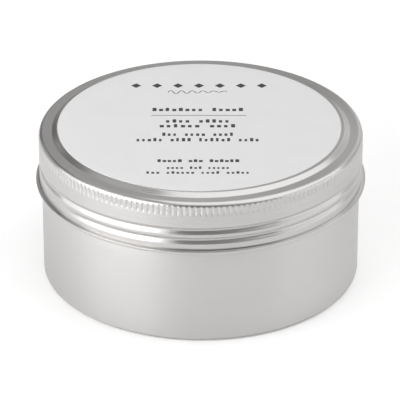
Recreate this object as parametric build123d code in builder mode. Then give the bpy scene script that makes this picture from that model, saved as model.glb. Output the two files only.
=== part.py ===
from build123d import *
import math
import os

# A round aluminium screw tin of shaving soap, in millimetres.
# The origin is on the ground under the tin's middle, +Z is the tin's axis, and the front is at -Y.

# Driving dimensions
BODY_R = 46.0
SHEET = 0.5
LID_SHEET = 0.45
OVERALL_H = 45.4
LABEL_T = 0.15
LID_R = 46.75
PITCH = 3.0
FLUTES = 180

# Tin body: base panel, wall and threaded neck
BASE_RECESS = 1.2
FOOT_IN_R = 42.4
BASE_PANEL_R = 40.8
BASE_CORNER = 1.5
WALL_TOP = 29.0
NECK_FOOT = 30.2
NECK_R = 44.8
RIM_TOP = 42.7
RIM_ROLL = 0.7

# Lid: raised panel, flat border, shoulder, skirt and rolled hem
PANEL_TOP = OVERALL_H - LABEL_T
PANEL_R = 41.5
BORDER_IN_R = 42.9
BORDER_TOP = 44.3
SHOULDER = 1.5
STEP_BEND = 0.7
HEM_ROLL = 0.7
HEM_R = 47.05
HEM_Z = 29.2

# Knurled grip band under the lid's shoulder
KNURL_LOW = 40.5
KNURL_HIGH = 43.2
FLUTE_DEPTH = 0.22

# Threads: half-round beads pressed through each sheet, on right-hand helices
LID_THREAD_R = 46.8
LID_GROOVE = 0.75
LID_THREAD_FRONT_Z = 32.8
LID_THREAD = (-60, 500)
NECK_THREAD_R = 45.05
NECK_GROOVE = 0.4
NECK_THREAD_LEAD = 1.35
NECK_THREAD = (-200, 430)

# Contents, seal and labels
LINER_R = 45.3
LINER_T = 1.0
LINER_GAP = 0.05
LABEL_R = 40.85
LABEL_SHIFT = -0.4
BASE_LABEL_R = 37.0
SOAP_TOP = 36.0
SOAP_GAP = 0.15
SOAP_EDGE = 1.6

FRONT = -90.0


def corners(sketch, points):
    """The sketch's vertices that stand at the given points."""
    found = [v for v in sketch.vertices() if any(math.dist((v.X, v.Y), p) < 1e-4 for p in points)]
    assert len(found) == len(points), "a corner is missing"
    return found


def helix(radius, front_z, span):
    """A right-hand helix, from span[0] to span[1] degrees past the front, at front_z when it is there."""
    rise = PITCH * (span[1] - span[0]) / 360
    low = front_z + PITCH * span[0] / 360
    return Helix(PITCH, rise, radius).rotate(Axis.Z, FRONT + span[0]).translate((0, 0, low))


def thread(path, radius, side, start):
    """A bead along a helix. Its section is a round one on the path, kept on one side, from start outward."""
    square = Plane(origin=path @ 0, x_dir=Vector((path @ 0).X, (path @ 0).Y, 0), z_dir=path % 0)
    with BuildPart() as bead:
        with BuildSketch(square):
            Circle(radius)
            with Locations((side * (start - radius), 0)):
                Rectangle(2 * radius, 2 * radius, mode=Mode.SUBTRACT)
            if start < 0:
                with Locations((side * start / 2, 0)):
                    Rectangle(-start, 2 * radius)
        sweep(path=path, is_frenet=True)
    return bead.part


# Tin body, drawn from one sheet: recessed base, straight wall, shoulder, neck and a rim rolled inward
body_low = [(0, BASE_RECESS), (BASE_PANEL_R, BASE_RECESS), (FOOT_IN_R, 0), (BODY_R, 0)]
body_high = [(BODY_R, WALL_TOP), (NECK_R, NECK_FOOT), (NECK_R, RIM_TOP - RIM_ROLL)]
body_back = [
    (NECK_R - SHEET, RIM_TOP - RIM_ROLL),
    (NECK_R - SHEET, NECK_FOOT - SHEET / 2),
    (BODY_R - SHEET, WALL_TOP - SHEET / 2),
    (BODY_R - SHEET, SHEET),
    (FOOT_IN_R + SHEET / 2, SHEET),
    (BASE_PANEL_R + SHEET / 2, BASE_RECESS + SHEET),
    (0, BASE_RECESS + SHEET),
]
neck_thread_z = LID_THREAD_FRONT_Z + NECK_THREAD_LEAD
neck_path = helix(NECK_THREAD_R, neck_thread_z, NECK_THREAD)

with BuildPart() as tin_body:
    with BuildSketch(Plane.XZ) as tin_profile:
        with BuildLine():
            Polyline(*body_low, *body_high, *body_back, close=True)
        make_face()
        fillet(corners(tin_profile, [(BODY_R, 0)]), BASE_CORNER)
        fillet(corners(tin_profile, [(BODY_R - SHEET, SHEET)]), BASE_CORNER - SHEET)
        fillet(corners(tin_profile, [body_low[1], body_low[2], body_back[4], body_back[5]]), SHEET)
        fillet(corners(tin_profile, [body_high[0], body_high[1], body_back[1], body_back[2]]), SHEET)
        with Locations((NECK_R - RIM_ROLL, RIM_TOP - RIM_ROLL)):
            Circle(RIM_ROLL)
    revolve(axis=Axis.Z)
    add(thread(neck_path, NECK_GROOVE + SHEET, 1, -SHEET))
    add(thread(neck_path, NECK_GROOVE, 1, -2.5 * SHEET), mode=Mode.SUBTRACT)
tin_body.part.label = "tin_body"

# Soap, cast in the tin: it fills the body and the lower part of the neck, and has shrunk a little
soap_r = BODY_R - SHEET - SOAP_GAP
soap_neck_r = NECK_R - SHEET - SOAP_GAP
soap_low = BASE_RECESS + SHEET + SOAP_GAP
soap_foot = SHEET + SOAP_GAP

with BuildPart() as soap_puck:
    with BuildSketch(Plane.XZ) as soap_profile:
        with BuildLine():
            Polyline(
                (0, soap_low),
                (BASE_PANEL_R + SHEET, soap_low),
                (FOOT_IN_R + SHEET, soap_foot),
                (soap_r, soap_foot),
                (soap_r, WALL_TOP - 2 * SHEET),
                (soap_neck_r, NECK_FOOT - 2 * SHEET),
                (soap_neck_r, SOAP_TOP),
                (0, SOAP_TOP),
                close=True,
            )
        make_face()
        fillet(corners(soap_profile, [(soap_r, soap_foot)]), BASE_CORNER)
        fillet(corners(soap_profile, [(soap_neck_r, SOAP_TOP)]), SOAP_EDGE)
    revolve(axis=Axis.Z)
soap_puck.part.label = "soap_puck"

# Lid shell, spun from one thinner sheet
lid_outside = [
    (0, PANEL_TOP),
    (PANEL_R, PANEL_TOP),
    (BORDER_IN_R, BORDER_TOP),
    (LID_R, BORDER_TOP),
    (LID_R, HEM_Z),
]
lid_in_r = LID_R - LID_SHEET
lid_inside = [
    (lid_in_r, HEM_Z),
    (lid_in_r, BORDER_TOP - LID_SHEET),
    (BORDER_IN_R - LID_SHEET / 2, BORDER_TOP - LID_SHEET),
    (PANEL_R - LID_SHEET / 2, PANEL_TOP - LID_SHEET),
    (0, PANEL_TOP - LID_SHEET),
]
flutes = [
    Vector(LID_R - FLUTE_DEPTH * (n % 2), 0).rotate(Axis.Z, 180 * n / FLUTES) for n in range(2 * FLUTES)
]
lid_path = helix(LID_THREAD_R, LID_THREAD_FRONT_Z, LID_THREAD)

with BuildPart() as lid_shell:
    with BuildSketch(Plane.XZ) as lid_profile:
        with BuildLine():
            Polyline(*lid_outside, *lid_inside, close=True)
        make_face()
        fillet(corners(lid_profile, [lid_outside[3]]), SHOULDER)
        fillet(corners(lid_profile, [lid_inside[1]]), SHOULDER - LID_SHEET)
        fillet(corners(lid_profile, [lid_outside[1], lid_outside[2], lid_inside[2], lid_inside[3]]), STEP_BEND)
        with Locations((HEM_R, HEM_Z)):
            Circle(HEM_ROLL)
    revolve(axis=Axis.Z)
    add(thread(lid_path, LID_GROOVE + LID_SHEET, -1, LID_SHEET / 2))
    add(thread(lid_path, LID_GROOVE, -1, -LID_SHEET), mode=Mode.SUBTRACT)
    with BuildSketch(Plane.XY.offset(KNURL_LOW)):
        Circle(LID_R + SHEET)
        with BuildLine():
            Polyline(*flutes, close=True)
        make_face(mode=Mode.SUBTRACT)
    extrude(amount=KNURL_HIGH - KNURL_LOW, mode=Mode.SUBTRACT)
lid_shell.part.label = "lid_shell"

# Foam liner, a loose disc between the lid and the tin's rim
with BuildPart() as lid_liner:
    with BuildSketch(Plane.XY.offset(RIM_TOP + LINER_GAP)):
        Circle(LINER_R)
    extrude(amount=LINER_T)
lid_liner.part.label = "lid_liner"

# Round paper labels: one on the lid's panel, one inside the base's recess
with BuildPart() as lid_label:
    with BuildSketch(Plane.XY.offset(PANEL_TOP)):
        with Locations((LABEL_SHIFT, 0)):
            Circle(LABEL_R)
    extrude(amount=LABEL_T)
lid_label.part.label = "lid_label"

with BuildPart() as base_label:
    with BuildSketch(Plane.XY.offset(BASE_RECESS - LABEL_T)):
        Circle(BASE_LABEL_R)
    extrude(amount=LABEL_T)
base_label.part.label = "base_label"

os.makedirs("parts", exist_ok=True)
for piece in (tin_body, soap_puck, base_label, lid_shell, lid_liner, lid_label):
    export_step(piece.part, f"parts/{piece.part.label}.step")
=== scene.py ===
import math

import bpy
import numpy as np
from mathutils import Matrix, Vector


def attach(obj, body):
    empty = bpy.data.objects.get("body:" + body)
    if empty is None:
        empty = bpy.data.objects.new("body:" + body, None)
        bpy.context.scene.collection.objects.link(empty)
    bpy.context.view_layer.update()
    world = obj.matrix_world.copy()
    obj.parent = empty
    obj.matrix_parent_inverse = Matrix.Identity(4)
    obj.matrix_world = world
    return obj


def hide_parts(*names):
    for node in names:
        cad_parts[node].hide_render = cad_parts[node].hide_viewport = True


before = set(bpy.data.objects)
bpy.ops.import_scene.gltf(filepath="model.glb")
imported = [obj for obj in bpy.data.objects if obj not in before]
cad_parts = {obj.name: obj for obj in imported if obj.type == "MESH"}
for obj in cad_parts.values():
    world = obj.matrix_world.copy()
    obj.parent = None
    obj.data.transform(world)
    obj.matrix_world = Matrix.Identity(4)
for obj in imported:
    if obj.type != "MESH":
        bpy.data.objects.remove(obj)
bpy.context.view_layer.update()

# A round aluminium screw tin of shaving soap. Outlines are in millimetres from the tin's axis and from
# the ground, as in the CAD; meshes are in metres. The front of the tin is at -Y.
MM = 0.001

# Driving dimensions, the CAD's
BODY_R = 46.0
SHEET = 0.5
LID_SHEET = 0.45
OVERALL_H = 45.4
LABEL_T = 0.15
LID_R = 46.75
PITCH = 3.0
FLUTES = 180
AROUND = 2 * FLUTES
FRONT = math.radians(-90)

# Tin body
BASE_RECESS = 1.2
FOOT_IN_R = 42.4
BASE_PANEL_R = 40.8
BASE_CORNER = 1.5
WALL_TOP = 29.0
NECK_FOOT = 30.2
NECK_R = 44.8
RIM_TOP = 42.7
RIM_ROLL = 0.7

# Lid. The hem has a flat top and an upright face, with a crease pressed in above it
PANEL_TOP = OVERALL_H - LABEL_T
PANEL_R = 41.5
BORDER_IN_R = 42.9
BORDER_TOP = 44.3
SHOULDER = 1.5
STEP_BEND = 0.7
HEM_R = 47.72
HEM_TOP = 29.6
HEM_LOW = 28.6
HEM_CREASE = 0.6

# Grip flutes, pressed in from outside: depth, half width as a share of their spacing, where their two ends
# fade, and how many times finer the mesh is there
FLUTE_DEPTH = 0.22
FLUTE_SHARE = 0.34
FLUTE_LOW = (40.1, 41.5)
FLUTE_HIGH = (42.8, 43.4)
FLUTE_DETAIL = 6

# Threads: (height where they pass the front, degrees past the front from end to end, depth, half width)
LID_THREAD = (32.8, (-60, 500), 0.55, 1.15)
NECK_THREAD = (34.15, (-200, 430), 1.1, 1.2)
THREAD_FADE = 24
LID_THREAD_CRISPNESS = 0.7

# Rows of mesh up the skirt: close where the thread is, and wider from there to the flutes
THREAD_ROWS = (30.2, 37.6)
OUTER_PLAIN_TOP = 39.6
INNER_PLAIN_TOP = 40.2

# Contents and seal
LINER_R = 45.3
LINER_T = 1.0
LINER_GAP = 0.05
LINER_Z = RIM_TOP + LINER_GAP
LABEL_R = 40.85
LABEL_SHIFT = -0.4
BASE_LABEL_R = 37.0
SOAP_TOP = 36.0
SOAP_GAP = 0.15
SOAP_EDGE = 1.6
SOAP_SUNK = 0.35
SOAP_WAVES = 0.045
RIM_MARK_DEPTH = 0.12
RIM_MARK_HALF_WIDTH = 0.9


# ---------------------------------------------------------------- meshes

LONGEST_STEP = 5.0
BEND_STEP = math.radians(11)
ON_AXIS = 1e-6


def smooth(value, low, high):
    """0 below low, 1 above high, and an even curve between."""
    share = np.clip((value - low) / (high - low), 0, 1)
    return share * share * (3 - 2 * share)


def unit(vector):
    return vector / np.linalg.norm(vector)


def bend_points(corner, ahead, after, radius):
    """Points round a bent corner. The outline comes along the unit vector ahead and leaves along after."""
    half = math.acos(np.clip(-ahead @ after, -1, 1)) / 2
    turn = math.pi - 2 * half
    middle = corner + unit(after - ahead) * radius / math.sin(half)
    first = corner - ahead * radius / math.tan(half) - middle
    last = corner + after * radius / math.tan(half) - middle
    return [
        middle + (math.sin(turn * (1 - t)) * first + math.sin(turn * t) * last) / math.sin(turn)
        for t in np.linspace(0, 1, max(3, round(turn / BEND_STEP)) + 1)
    ]


def outline(*corners):
    """Points along an outline. Each corner is (r, z), or (r, z, bend radius), or (r, z, bend radius,
    longest step on the way to the next corner)."""
    corners = [tuple(c) + (0, LONGEST_STEP)[len(c) - 2:] for c in corners]
    places = [np.array(c[:2], float) for c in corners]
    points = [places[0]]
    for n in range(1, len(corners)):
        bend = corners[n][2]
        if bend and n < len(corners) - 1:
            ahead, after = unit(places[n] - places[n - 1]), unit(places[n + 1] - places[n])
            arc = bend_points(places[n], ahead, after, bend)
        else:
            arc = [places[n]]
        run = arc[0] - points[-1]
        steps = max(1, math.ceil(np.linalg.norm(run) / corners[n - 1][3] - 1e-6))
        points += [points[-1] + run * s / steps for s in range(1, steps)]
        points += arc
    return points


def arc_points(middle, radius, start, end, count):
    """Points on an arc, by angles in degrees."""
    return [
        np.array(middle) + radius * np.array([math.cos(a), math.sin(a)])
        for a in np.radians(np.linspace(start, end, count + 1))
    ]


def belt(low, low_count, high, high_count):
    """Faces between two rings, given each one's first vertex and number of vertices."""
    pieces = min(low_count, high_count)
    low_step, high_step = low_count // pieces, high_count // pieces
    faces = []
    for n in range(pieces):
        lows = [low + k % low_count for k in range((n + 1) * low_step, n * low_step - 1, -1)]
        highs = [high + k % high_count for k in range(n * high_step, (n + 1) * high_step + 1)]
        faces.append(lows + highs)
    return faces


def lathe(name, points, material, around=AROUND, form=None, shift=0.0, finer=None):
    """A mesh turned from an outline that runs from the axis to the axis with the solid on its right.

    form(r, z, turn) moves the rings; turn is the angle past the front, in degrees. finer(r, z) says how
    many times more vertices a ring gets.
    """
    points = np.array(points)
    rings = points[points[:, 0] > ON_AXIS]
    counts = [around * (finer(r, z) if finer else 1) for r, z in rings]
    firsts = np.concatenate([[0], np.cumsum(counts)])
    co = []
    for (ring_r, ring_z), count in zip(rings, counts):
        turn = np.arange(count) * 360.0 / count
        r, z = np.full(count, ring_r), np.full(count, ring_z)
        if form:
            r, z = form(r, z, turn)
        angle = FRONT + np.radians(turn)
        co.append(np.stack([r * np.cos(angle) + shift, r * np.sin(angle), z], -1))
    co.append([[shift, 0, points[0, 1]], [shift, 0, points[-1, 1]]])
    start, end = firsts[-1], firsts[-1] + 1
    last = firsts[-2]
    faces = [(start, a, (a + 1) % counts[0]) for a in range(counts[0])]
    for n in range(len(rings) - 1):
        faces += belt(firsts[n], counts[n], firsts[n + 1], counts[n + 1])
    faces += [(last + a, end, last + (a + 1) % counts[-1]) for a in range(counts[-1])]
    return mesh_object(name, np.vstack(co) * MM, faces, material)


def mesh_object(name, co, faces, material, is_smooth=True):
    """An object in the scene, from vertices in metres and faces as lists of vertex numbers."""
    mesh = bpy.data.meshes.new(name)
    mesh.from_pydata([tuple(c) for c in co], [], [tuple(int(i) for i in f) for f in faces])
    mesh.polygons.foreach_set("use_smooth", [is_smooth] * len(mesh.polygons))
    mesh.materials.append(material)
    piece = bpy.data.objects.new(name, mesh)
    bpy.context.scene.collection.objects.link(piece)
    return piece


def stand_in(piece, body, slot, *nodes):
    """The piece rides on a body in place of CAD nodes. The slot is not used."""
    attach(piece, body)
    if nodes:
        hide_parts(*nodes)
    return piece


def thread_depth(z, turn, thread, lower_edge=0.0):
    """How deep a helical bead is at each place: a round wave across it, fading at its two ends.

    A lower_edge of 1 makes its lower side a flank that ends in a crisp edge; 0 leaves both sides round.
    """
    front_z, (start, end), depth, half_width = thread
    deepest = np.zeros_like(z)
    for lap in range(math.floor(start / 360), math.ceil(end / 360)):
        along = turn + 360 * lap
        off = np.clip((z - front_z - PITCH * along / 360) / half_width, -1, 1)
        wave = 0.5 + 0.5 * np.cos(math.pi * off)
        flank = 1 - np.abs(off) ** 1.5
        wave = np.where(off < 0, wave + lower_edge * (flank - wave), wave)
        ends = smooth(along, start, start + THREAD_FADE) * (1 - smooth(along, end - THREAD_FADE, end))
        deepest = np.maximum(deepest, wave * ends)
    return depth * deepest


# ---------------------------------------------------------------- materials

def new_material(name, **shader_values):
    """A material with only a Principled shader, and the tree and shader to build on."""
    made = bpy.data.materials.new(name)
    made.use_nodes = True
    tree = made.node_tree
    shader = tree.nodes["Principled BSDF"]
    for socket, value in shader_values.items():
        shader.inputs[socket.replace("_", " ")].default_value = value
    return made, tree, shader


def add(tree, kind, inputs=(), out=0, **settings):
    """A new node's output. Its inputs are (socket name or number, value or another node's output)."""
    made = tree.nodes.new("ShaderNode" + kind)
    for name, value in settings.items():
        setattr(made, name, value)
    for name, value in inputs:
        if isinstance(value, bpy.types.NodeSocket):
            tree.links.new(value, made.inputs[name])
        else:
            made.inputs[name].default_value = value
    return made.outputs[out]


def maths(tree, operation, *values):
    """The output of a Math node."""
    return add(tree, "Math", list(enumerate(values)), operation=operation)


def spread(tree, value, low, high, start=0.0, end=1.0):
    """value from start..end as low..high, held at both ends."""
    places = [("Value", value), ("From Min", start), ("From Max", end), ("To Min", low), ("To Max", high)]
    return add(tree, "MapRange", places)


def noise(tree, where, scale, detail=2.0, roughness=0.5):
    """Soft noise, 0 to 1. Its scale is in cycles per metre, unless where is scaled already."""
    places = [("Vector", where), ("Scale", scale), ("Detail", detail), ("Roughness", roughness)]
    return add(tree, "TexNoise", places)


def blend(tree, share, dark, light):
    """A colour between two, by share."""
    return add(tree, "Mix", [("Factor", share), ("A", dark), ("B", light)], out="Result", data_type="RGBA")


def object_place(tree):
    """The place on the piece, in metres, which moves with it."""
    return add(tree, "TexCoord", out="Object")


def stretched(tree, place, scale, rotation=(0.0, 0.0, 0.0)):
    """The place turned, and scaled on each axis by its own cycles per metre."""
    return add(tree, "Mapping", [("Vector", place), ("Rotation", rotation), ("Scale", scale)])


# Marks in brushed metal, in cycles per metre: along the brushing, and across it for the fine and broad ones
ALONG_MARKS = 25.0
FINE_MARKS = 3600.0
BROAD_MARKS = 700.0


def satin_aluminium(name, dark, light, roughness, brushed):
    """Satin aluminium: fine marks run round the axis, with faint clouding and a few hair scratches."""
    made, tree, shader = new_material(name, Metallic=1.0, Anisotropic=brushed, Anisotropic_Rotation=0.25)
    place = object_place(tree)
    apart = tree.nodes.new("ShaderNodeSeparateXYZ")
    tree.links.new(place, apart.inputs[0])
    x, y, z = apart.outputs
    squares = maths(tree, "ADD", maths(tree, "MULTIPLY", x, x), maths(tree, "MULTIPLY", y, y))
    radius = maths(tree, "SQRT", squares)
    along = maths(tree, "MULTIPLY", x, ALONG_MARKS)

    def ringed(across):
        """Places for noise that is long round the axis and short across it."""
        ways = [along, maths(tree, "MULTIPLY", radius, across), maths(tree, "MULTIPLY", z, across)]
        return add(tree, "CombineXYZ", list(enumerate(ways)))

    marks = noise(tree, ringed(FINE_MARKS), 1.0, 2.0, 0.6)
    bands = noise(tree, ringed(BROAD_MARKS), 1.0, 1.0)
    clouds = noise(tree, place, 45.0, 3.0)
    hair_place = stretched(tree, place, (90.0, 1400.0, 500.0), (0.5, 0.3, 0.9))
    hairs = spread(tree, noise(tree, hair_place, 1.0, 1.0), 0.0, 1.0, 0.72, 0.8)

    slow_tone = maths(tree, "MULTIPLY", maths(tree, "ADD", bands, clouds), 0.2)
    tone = maths(tree, "MULTIPLY_ADD", marks, 0.6, slow_tone)
    tree.links.new(blend(tree, tone, dark, light), shader.inputs["Base Color"])

    cloud_rough = spread(tree, clouds, roughness - 0.01, roughness + 0.01, 0.3, 0.7)
    mark_rough = spread(tree, marks, -0.03, 0.03, 0.25, 0.75)
    rough = maths(tree, "MULTIPLY_ADD", hairs, 0.05, maths(tree, "ADD", cloud_rough, mark_rough))
    tree.links.new(rough, shader.inputs["Roughness"])

    height = maths(tree, "MULTIPLY_ADD", bands, 0.6, marks)
    height = maths(tree, "MULTIPLY_ADD", hairs, -0.4, height)
    bump = add(tree, "Bump", [("Strength", 0.1), ("Distance", 0.00001), ("Height", height)])
    tree.links.new(bump, shader.inputs["Normal"])
    tree.links.new(add(tree, "Tangent", direction_type="RADIAL", axis="Z"), shader.inputs["Tangent"])
    return made


def paper(name, dark, light, roughness):
    """Smooth label paper with short fibres and a faint mottle."""
    made, tree, shader = new_material(name, Specular_IOR_Level=0.35)
    place = object_place(tree)
    fibres = noise(tree, stretched(tree, place, (2600.0, 900.0, 900.0)), 1.0, 4.0, 0.7)
    crossed = noise(tree, stretched(tree, place, (700.0, 2900.0, 900.0)), 1.0, 3.0, 0.7)
    mottle = noise(tree, place, 160.0, 3.0)
    grain = maths(tree, "ADD", maths(tree, "MULTIPLY", fibres, 0.5), maths(tree, "MULTIPLY", crossed, 0.5))
    tone = maths(tree, "MULTIPLY_ADD", grain, 0.7, maths(tree, "MULTIPLY", mottle, 0.3))
    colour = blend(tree, spread(tree, tone, 0.0, 1.0, 0.3, 0.7), dark, light)
    tree.links.new(colour, shader.inputs["Base Color"])
    rough = spread(tree, mottle, roughness - 0.05, roughness + 0.05, 0.3, 0.7)
    tree.links.new(rough, shader.inputs["Roughness"])
    bump = add(tree, "Bump", [("Strength", 0.3), ("Distance", 0.00001), ("Height", grain)])
    tree.links.new(bump, shader.inputs["Normal"])
    return made


def ink(name):
    """Dark grey printing ink that lets a little of the paper's grain through."""
    made, tree, shader = new_material(name, Specular_IOR_Level=0.4)
    speckle = noise(tree, object_place(tree), 5200.0, 3.0, 0.7)
    share = spread(tree, speckle, 0.0, 1.0, 0.35, 0.7)
    colour = blend(tree, share, (0.03, 0.03, 0.032, 1), (0.075, 0.075, 0.078, 1))
    tree.links.new(colour, shader.inputs["Base Color"])
    tree.links.new(spread(tree, speckle, 0.42, 0.62), shader.inputs["Roughness"])
    return made


def soap_material(name):
    """Cast soap: cream, slightly see-through, with pour clouds and fine pits."""
    made, tree, shader = new_material(
        name, Subsurface_Weight=0.35, Subsurface_Scale=0.002, Specular_IOR_Level=0.45, Coat_Weight=0.08)
    shader.inputs["Subsurface Radius"].default_value = (1.0, 0.8, 0.6)
    place = object_place(tree)
    swirl = noise(tree, place, 40.0, 4.0, 0.55)
    pour = noise(tree, stretched(tree, place, (60.0, 190.0, 120.0)), 1.0, 3.0)
    cells = add(tree, "TexVoronoi", [("Vector", place), ("Scale", 900.0)], out="Distance")
    pits = spread(tree, cells, 1.0, 0.0, 0.06, 0.2)
    tone = maths(tree, "ADD", maths(tree, "MULTIPLY", swirl, 0.6), maths(tree, "MULTIPLY", pour, 0.4))
    share = spread(tree, tone, 0.0, 1.0, 0.35, 0.65)
    colour = blend(tree, share, (0.86, 0.83, 0.76, 1), (0.94, 0.92, 0.87, 1))
    tree.links.new(colour, shader.inputs["Base Color"])
    tree.links.new(spread(tree, swirl, 0.32, 0.5, 0.3, 0.7), shader.inputs["Roughness"])
    height = maths(tree, "MULTIPLY_ADD", pits, -0.5, maths(tree, "MULTIPLY_ADD", pour, 0.8, swirl))
    bump = add(tree, "Bump", [("Strength", 0.35), ("Distance", 0.0002), ("Height", height)])
    tree.links.new(bump, shader.inputs["Normal"])
    return made


def foam(name):
    """Closed-cell foam liner: white, matt, with fine cells."""
    made, tree, shader = new_material(name, Specular_IOR_Level=0.25)
    place = object_place(tree)
    cells = add(tree, "TexVoronoi", [("Vector", place), ("Scale", 2200.0)], out="Distance")
    mottle = noise(tree, place, 300.0, 3.0)
    colour = blend(tree, maths(tree, "MULTIPLY", cells, 1.2), (0.74, 0.74, 0.73, 1), (0.86, 0.86, 0.85, 1))
    tree.links.new(colour, shader.inputs["Base Color"])
    tree.links.new(spread(tree, mottle, 0.6, 0.8, 0.3, 0.7), shader.inputs["Roughness"])
    bump = add(tree, "Bump", [("Strength", 0.4), ("Distance", 0.00008), ("Height", cells)])
    tree.links.new(bump, shader.inputs["Normal"])
    return made


# ---------------------------------------------------------------- pieces

def tin_skin():
    """The tin's sheet: base panel, wall, shoulder, threaded neck and a rim rolled inward."""
    neck_in = NECK_R - SHEET
    inside = outline(
        (0, BASE_RECESS + SHEET),
        (BASE_PANEL_R + SHEET / 2, BASE_RECESS + SHEET, SHEET),
        (FOOT_IN_R + SHEET / 2, SHEET, SHEET),
        (BODY_R - SHEET, SHEET, BASE_CORNER - SHEET),
        (BODY_R - SHEET, WALL_TOP - SHEET / 2, SHEET),
        (neck_in, NECK_FOOT - SHEET / 2, SHEET, 0.3),
        (neck_in, RIM_TOP - 2 * RIM_ROLL),
    )
    rim = arc_points((NECK_R - RIM_ROLL, RIM_TOP - RIM_ROLL), RIM_ROLL, 285, 0, 18)
    outside = outline(
        (NECK_R, RIM_TOP - RIM_ROLL, 0, 0.24),
        (NECK_R, NECK_FOOT, SHEET),
        (BODY_R, WALL_TOP, SHEET),
        (BODY_R, 0, BASE_CORNER),
        (FOOT_IN_R, 0, SHEET),
        (BASE_PANEL_R, BASE_RECESS, SHEET),
        (0, BASE_RECESS),
    )

    def form(r, z, turn):
        return r + thread_depth(z, turn, NECK_THREAD), z

    skin = lathe("tin_skin", inside + rim + outside[1:], MATERIALS["tin"], form=form)
    return stand_in(skin, "tin", "tin_aluminium", "tin_body")


def lid_skin():
    """The lid's sheet: label panel, step, flat border, shoulder, fluted and threaded skirt, curled hem."""
    skirt_in = LID_R - LID_SHEET
    crease = LID_R - HEM_CREASE
    section = outline(
        (0, PANEL_TOP),
        (PANEL_R, PANEL_TOP, STEP_BEND),
        (BORDER_IN_R, BORDER_TOP, STEP_BEND),
        (LID_R, BORDER_TOP, SHOULDER, 0.3),
        (LID_R, OUTER_PLAIN_TOP, 0, 0.8),
        (LID_R, THREAD_ROWS[1], 0, 0.17),
        (LID_R, HEM_TOP + 0.35),
        (crease, HEM_TOP + 0.15, 0.08),
        (crease, HEM_TOP - 0.05),
        (HEM_R, HEM_TOP, 0.15),
        (HEM_R, HEM_LOW, 0.55),
        (skirt_in, HEM_LOW, 0.4),
        (skirt_in, HEM_TOP - 0.4),
        (crease - SHEET / 2, HEM_TOP, 0.2),
        (skirt_in, HEM_TOP + 0.5),
        (skirt_in, THREAD_ROWS[0], 0, 0.34),
        (skirt_in, THREAD_ROWS[1], 0, 0.8),
        (skirt_in, INNER_PLAIN_TOP, 0, 0.5),
        (skirt_in, BORDER_TOP - LID_SHEET, SHOULDER - LID_SHEET),
        (BORDER_IN_R - LID_SHEET / 2, BORDER_TOP - LID_SHEET, STEP_BEND),
        (PANEL_R - LID_SHEET / 2, PANEL_TOP - LID_SHEET, STEP_BEND),
        (0, PANEL_TOP - LID_SHEET),
    )

    def form(r, z, turn):
        off = np.clip(((turn * FLUTES / 360 + 0.5) % 1 - 0.5) / FLUTE_SHARE, -1, 1)
        flute = 0.5 + 0.5 * np.cos(math.pi * off)
        length = smooth(z, *FLUTE_LOW) * (1 - smooth(z, *FLUTE_HIGH))
        groove = thread_depth(z, turn, LID_THREAD, LID_THREAD_CRISPNESS)
        return r - FLUTE_DEPTH * flute * length - groove, z

    def finer(r, z):
        fluted = r > LID_R - 0.2 and FLUTE_LOW[0] <= z <= FLUTE_HIGH[1]
        return FLUTE_DETAIL if fluted else 1

    skin = lathe("lid_skin", section, MATERIALS["lid"], form=form, finer=finer)
    return stand_in(skin, "lid", "lid_aluminium", "lid_shell")


def soap_cake():
    """The soap, cast in the tin: a cooled skin that has sunk a little in the middle, with a soft edge."""
    body = BODY_R - SHEET - SOAP_GAP
    neck = NECK_R - SHEET - SOAP_GAP
    low = BASE_RECESS + SHEET + SOAP_GAP
    foot = SHEET + SOAP_GAP
    points = outline(
        (0, SOAP_TOP, 0, 0.8),
        (neck, SOAP_TOP, SOAP_EDGE),
        (neck, NECK_FOOT - 2 * SHEET, 0.3),
        (body, WALL_TOP - 2 * SHEET, 0.3),
        (body, foot, BASE_CORNER),
        (FOOT_IN_R + SHEET, foot),
        (BASE_PANEL_R + SHEET, low),
        (0, low),
    )

    def form(r, z, turn):
        top = smooth(z, SOAP_TOP - 0.3, SOAP_TOP)
        x, y = r * np.sin(np.radians(turn)), r * np.cos(np.radians(turn))
        waves = np.sin(x / 9 + 0.7) * np.cos(y / 11)
        waves = waves + 0.5 * np.sin(x / 4.7 - y / 6.1) + 0.3 * np.cos(x / 2.9 + y / 3.3)
        sunk = SOAP_SUNK * (1 - (r / neck) ** 2)
        # The waves are never under -1.8, so no crest stands above SOAP_TOP
        return r, z - top * (sunk + SOAP_WAVES * (waves + 1.8))

    cake = lathe("soap_cake", points, MATERIALS["soap"], around=240, form=form)
    return stand_in(cake, "tin", "soap", "soap_puck")


def liner_foam():
    """The foam disc under the lid's panel, with the ring that the tin's rim has pressed into it."""
    points = outline(
        (0, LINER_Z + LINER_T),
        (LINER_R, LINER_Z + LINER_T, 0.2),
        (LINER_R, LINER_Z, 0.25, 0.25),
        (NECK_R - 3 * RIM_ROLL, LINER_Z),
        (0, LINER_Z),
    )

    def form(r, z, turn):
        below = 1 - smooth(z, LINER_Z, LINER_Z + 0.2)
        ring = np.clip(1 - ((r - NECK_R + RIM_ROLL) / RIM_MARK_HALF_WIDTH) ** 2, 0, 1)
        return r, z + RIM_MARK_DEPTH * ring * below

    disc = lathe("liner_foam", points, MATERIALS["foam"], around=360, form=form)
    return stand_in(disc, "liner", "liner_foam", "lid_liner")


def paper_disc(name, body, slot, node, radius, low, material, shift=0.0):
    """A round paper label with a softened cut edge."""
    points = outline(
        (0, low + LABEL_T), (radius, low + LABEL_T, 0.05), (radius, low, 0.02), (0, low))
    return stand_in(lathe(name, points, material, around=360, shift=shift), body, slot, node)


# ---------------------------------------------------------------- print

INK_T = 0.012
INK_SUNK = 0.02
PRINT_SHIFT = -0.5

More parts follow.
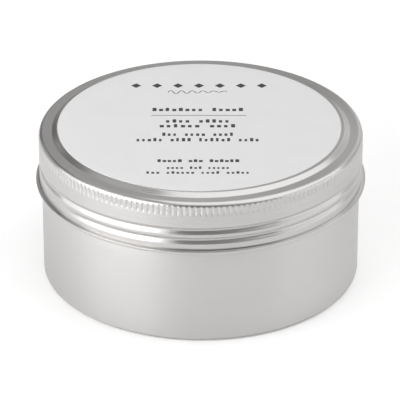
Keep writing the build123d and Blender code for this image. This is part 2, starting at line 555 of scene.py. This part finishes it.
# Rows of small print on the lid: (middle's place up the label, width, mark height, groups, mark width as a
# share of the marks' spacing). A rule divides the first row from the others
LID_TITLE = (10.1, 27.0, 2.1, (8, 5), 0.55)
LID_ROWS = (
    (2.65, 19.0, 2.1, (4, 5), 0.55),
    (-0.45, 22.6, 2.1, (6, 4), 0.55),
    (-5.9, 21.0, 2.1, (3, 4, 4), 0.5),
    (-9.35, 35.6, 2.1, (5, 4, 6, 4), 0.5),
    (-22.5, 23.4, 1.7, (5, 3, 6), 0.68),
    (-26.8, 18.0, 1.5, (4, 3, 5), 0.5),
    (-29.75, 29.4, 1.5, (3, 6, 4, 5), 0.5),
)

# Rows of small print under the base
BASE_ROW_WIDTHS = (26, 40, 44, 38, 46, 30)
BASE_TOP_ROW = 15.0
BASE_ROW_STEP = 6.0


def blocks(outlines, low, high, name, material):
    """Flat raised shapes: each outline is a list of (x, y) going anticlockwise, in millimetres."""
    co, faces = [], []
    for shape in outlines:
        n, first = len(shape), len(co)
        co += [(x, y, high) for x, y in shape] + [(x, y, low) for x, y in shape]
        faces.append([first + k for k in range(n)])
        faces.append([first + n + k for k in reversed(range(n))])
        for k in range(n):
            after = (k + 1) % n
            faces.append([first + k, first + n + k, first + n + after, first + after])
    return mesh_object(name, np.array(co) * MM, faces, material, is_smooth=False)


def bar(left, right, low, high):
    """A bar with slightly cut corners."""
    cut = 0.12 * min(right - left, high - low)
    return [(left + cut, low), (right - cut, low), (right, low + cut), (right, high - cut),
            (right - cut, high), (left + cut, high), (left, high - cut), (left, low + cut)]


def mark_row(rng, middle_y, width, height, groups, weight):
    """A row of plain upright marks in groups, in place of a line of print. It holds no letters."""
    gap = 1.1
    step = width / (sum(groups) + (len(groups) - 1) * gap)
    low = middle_y - height / 2
    x = PRINT_SHIFT - width / 2
    made = []
    for count in groups:
        for _ in range(count):
            tall = height * rng.choice([0.72, 0.72, 1.0])
            thick = step * rng.uniform(weight - 0.08, weight + 0.08)
            made.append(bar(x, x + thick, low, low + tall))
            x += step
        x += step * gap
    return made


def lozenge_row(middle_y, width, size, count):
    """A row of small lozenges, spaced evenly."""
    half = size / 2
    places = np.linspace(-width / 2 + half, width / 2 - half, count) + PRINT_SHIFT
    return [
        [(x - half, middle_y), (x, middle_y - half), (x + half, middle_y), (x, middle_y + half)]
        for x in places
    ]


def flourish(middle_y, width, height, line, waves=5.5):
    """A drawn wave whose swing dies away, as one ribbon."""
    t = np.linspace(0, 1, 61)
    x = PRINT_SHIFT - 0.4 + width * (t - 0.5)
    y = middle_y + height / 2 * np.sin(t * waves * math.tau) * (1 - 0.75 * t) + 0.5 * (t - 0.5)
    across = np.stack([-np.gradient(y), np.gradient(x)], -1)
    across /= np.linalg.norm(across, axis=1)[:, None]
    half = line / 2 * (0.6 + 0.4 * np.abs(np.cos(t * waves * math.tau)))[:, None]
    middle = np.stack([x, y], -1)
    return [[tuple(p) for p in np.vstack([middle - across * half, (middle + across * half)[::-1]])]]


def label_print():
    """The lid label's print: lozenges, a flourish and a rule, and plain marks in place of words."""
    rng = np.random.default_rng(7)
    shapes = lozenge_row(middle_y=26.0, width=40.0, size=3.0, count=7)
    shapes += mark_row(rng, *LID_TITLE)
    shapes.append(bar(PRINT_SHIFT - 13.8, PRINT_SHIFT + 13.8, low=6.15, high=6.42))
    for row in LID_ROWS:
        shapes += mark_row(rng, *row)
    shapes += flourish(middle_y=21.8, width=17.3, height=2.6, line=0.3)
    low = PANEL_TOP + LABEL_T
    made = blocks(shapes, low - INK_SUNK, low + INK_T, "lid_label_print", MATERIALS["ink"])
    return stand_in(made, "lid", "label_print")


def base_print():
    """The same plain marks in rows under the base, in place of its small print."""
    rng = np.random.default_rng(11)
    shapes = []
    for k, width in enumerate(BASE_ROW_WIDTHS):
        groups = (6, 4, 7) if width > 35 else (5, 6)
        middle_y = BASE_TOP_ROW - BASE_ROW_STEP * k
        shapes += mark_row(rng, middle_y, width, height=1.5, groups=groups, weight=0.55)
    high = BASE_RECESS - LABEL_T
    made = blocks(shapes, high - INK_T, high + INK_SUNK, "base_label_print", MATERIALS["ink"])
    return stand_in(made, "tin", "label_print")


# ---------------------------------------------------------------- studio

# The camera: degrees above the ground, then metres and millimetres of lens
VIEW_ELEVATION = 27.8
VIEW_DISTANCE = 0.9874
VIEW_TARGET = Vector((-0.0002, 0, 0.0210))
VIEW_LENS = 305.0

# White light that the floor adds for the camera: near the tin, far from it, and those distances in metres
NEAR_GLOW = 0.2
FAR_GLOW = 1.0
GLOW_RANGE = (0.2, 0.5)
FLOOR_HALF = 12.0

# Lamps: how many metres off they stand, and the light that comes from everywhere else
FAR = 1.4
NEAR = 0.5
SURROUND = 0.13

# Each lamp: distance, azimuth, elevation, width and height in degrees as seen from the tin, and radiance.
# The tin stands between a bright left side and a weaker right side, with a dark gap towards the camera.
SOFTBOXES = {
    "key": (NEAR, -56, 21, 50, 42, 1.5),
    "key_edge": (NEAR, -64, 20, 84, 40, 1.3),
    "overhead_right": (FAR, 84, 68, 76, 70, 1.2),
    "fill": (NEAR, 79, 13, 52, 26, 0.95),
    "right_back": (FAR, 136, 20, 60, 40, 0.42),
    "back": (FAR, 174, 28, 54, 36, 0.28),
    "left_back": (FAR, -126, 14, 34, 28, 0.4),
    "left_high": (FAR, -120, 60, 70, 30, 0.33),
}


def direction(azimuth, elevation):
    """Azimuth 0 is towards the camera and +90 to its right; both in degrees."""
    a, e = math.radians(azimuth), math.radians(elevation)
    return Vector((math.sin(a) * math.cos(e), -math.cos(a) * math.cos(e), math.sin(e)))


def camera():
    """The scene's camera, in front of the tin and looking down on it."""
    made = bpy.data.objects.new("camera", bpy.data.cameras.new("camera"))
    made.data.lens = VIEW_LENS
    made.data.clip_start, made.data.clip_end = 0.01, 50
    back = direction(0, VIEW_ELEVATION)
    made.location = VIEW_TARGET + back * VIEW_DISTANCE
    made.rotation_mode = "QUATERNION"
    made.rotation_quaternion = (-back).to_track_quat("-Z", "Y")
    bpy.context.scene.collection.objects.link(made)
    bpy.context.scene.camera = made


def floor():
    """A pale matt floor. Beyond the lamps the camera sees it as white as the backdrop."""
    made, tree, shader = new_material("floor_matt", Roughness=0.9, Specular_IOR_Level=0.0)
    place = object_place(tree)
    colour = blend(tree, noise(tree, place, 3.0, 2.0), (0.96, 0.96, 0.96, 1), (0.975, 0.975, 0.975, 1))
    tree.links.new(colour, shader.inputs["Base Color"])
    away = add(tree, "VectorMath", [("Vector", place)], out="Value", operation="LENGTH")
    seen = add(tree, "LightPath", out="Is Camera Ray")
    glow = maths(tree, "MULTIPLY", seen, spread(tree, away, NEAR_GLOW, FAR_GLOW, *GLOW_RANGE))
    tree.links.new(glow, shader.inputs["Emission Strength"])
    shader.inputs["Emission Color"].default_value = (1, 1, 1, 1)
    half = FLOOR_HALF
    square = [(-half, -half, 0), (half, -half, 0), (half, half, 0), (-half, half, 0)]
    plane = mesh_object("floor", square, [(0, 1, 2, 3)], made)


def softbox(name, distance, azimuth, elevation, wide, tall, radiance):
    """A soft rectangular lamp that faces the tin."""
    lamp = bpy.data.lights.new(name, "AREA")
    lamp.shape = "RECTANGLE"
    lamp.size = 2 * distance * math.tan(math.radians(wide / 2))
    lamp.size_y = 2 * distance * math.tan(math.radians(tall / 2))
    lamp.energy = radiance * math.pi * lamp.size * lamp.size_y
    made = bpy.data.objects.new(name, lamp)
    way = direction(azimuth, elevation)
    made.location = way * distance
    made.rotation_mode = "QUATERNION"
    made.rotation_quaternion = (-way).to_track_quat("-Z", "Y")
    made.visible_camera = False
    bpy.context.scene.collection.objects.link(made)


def studio():
    """A dim grey room, white where the camera sees past the floor, and soft lamps round the tin."""
    world = bpy.data.worlds.new("studio")
    world.use_nodes = True
    tree = world.node_tree
    seen = add(tree, "LightPath", out="Is Camera Ray")
    tree.links.new(spread(tree, seen, SURROUND, 1.0), tree.nodes["Background"].inputs["Strength"])
    tree.nodes["Background"].inputs["Color"].default_value = (1, 1, 1, 1)
    bpy.context.scene.world = world
    for name, lamp in SOFTBOXES.items():
        softbox(name, *lamp)
    bpy.context.scene.view_settings.view_transform = "Standard"


MATERIALS = {
    "tin": satin_aluminium(
        "tin_satin_aluminium", (0.655, 0.643, 0.633, 1), (0.705, 0.693, 0.683, 1), 0.36, 0.67),
    "lid": satin_aluminium(
        "lid_satin_aluminium", (0.63, 0.618, 0.608, 1), (0.675, 0.663, 0.653, 1), 0.29, 0.73),
    "soap": soap_material("cast_soap"),
    "foam": foam("liner_foam_cells"),
    "lid_paper": paper("lid_label_paper", (0.82, 0.82, 0.82, 1), (0.87, 0.87, 0.87, 1), 0.5),
    "base_paper": paper("base_label_paper", (0.7, 0.7, 0.69, 1), (0.76, 0.76, 0.75, 1), 0.5),
    "ink": ink("label_ink"),
}

tin_skin()
lid_skin()
soap_cake()
liner_foam()
paper_disc("lid_label_paper", "lid", "lid_label_paper", "lid_label", LABEL_R, PANEL_TOP,
           MATERIALS["lid_paper"], LABEL_SHIFT)
paper_disc("base_label_paper", "tin", "base_label_paper", "base_label", BASE_LABEL_R, BASE_RECESS - LABEL_T,
           MATERIALS["base_paper"])
label_print()
base_print()
camera()
floor()
studio()
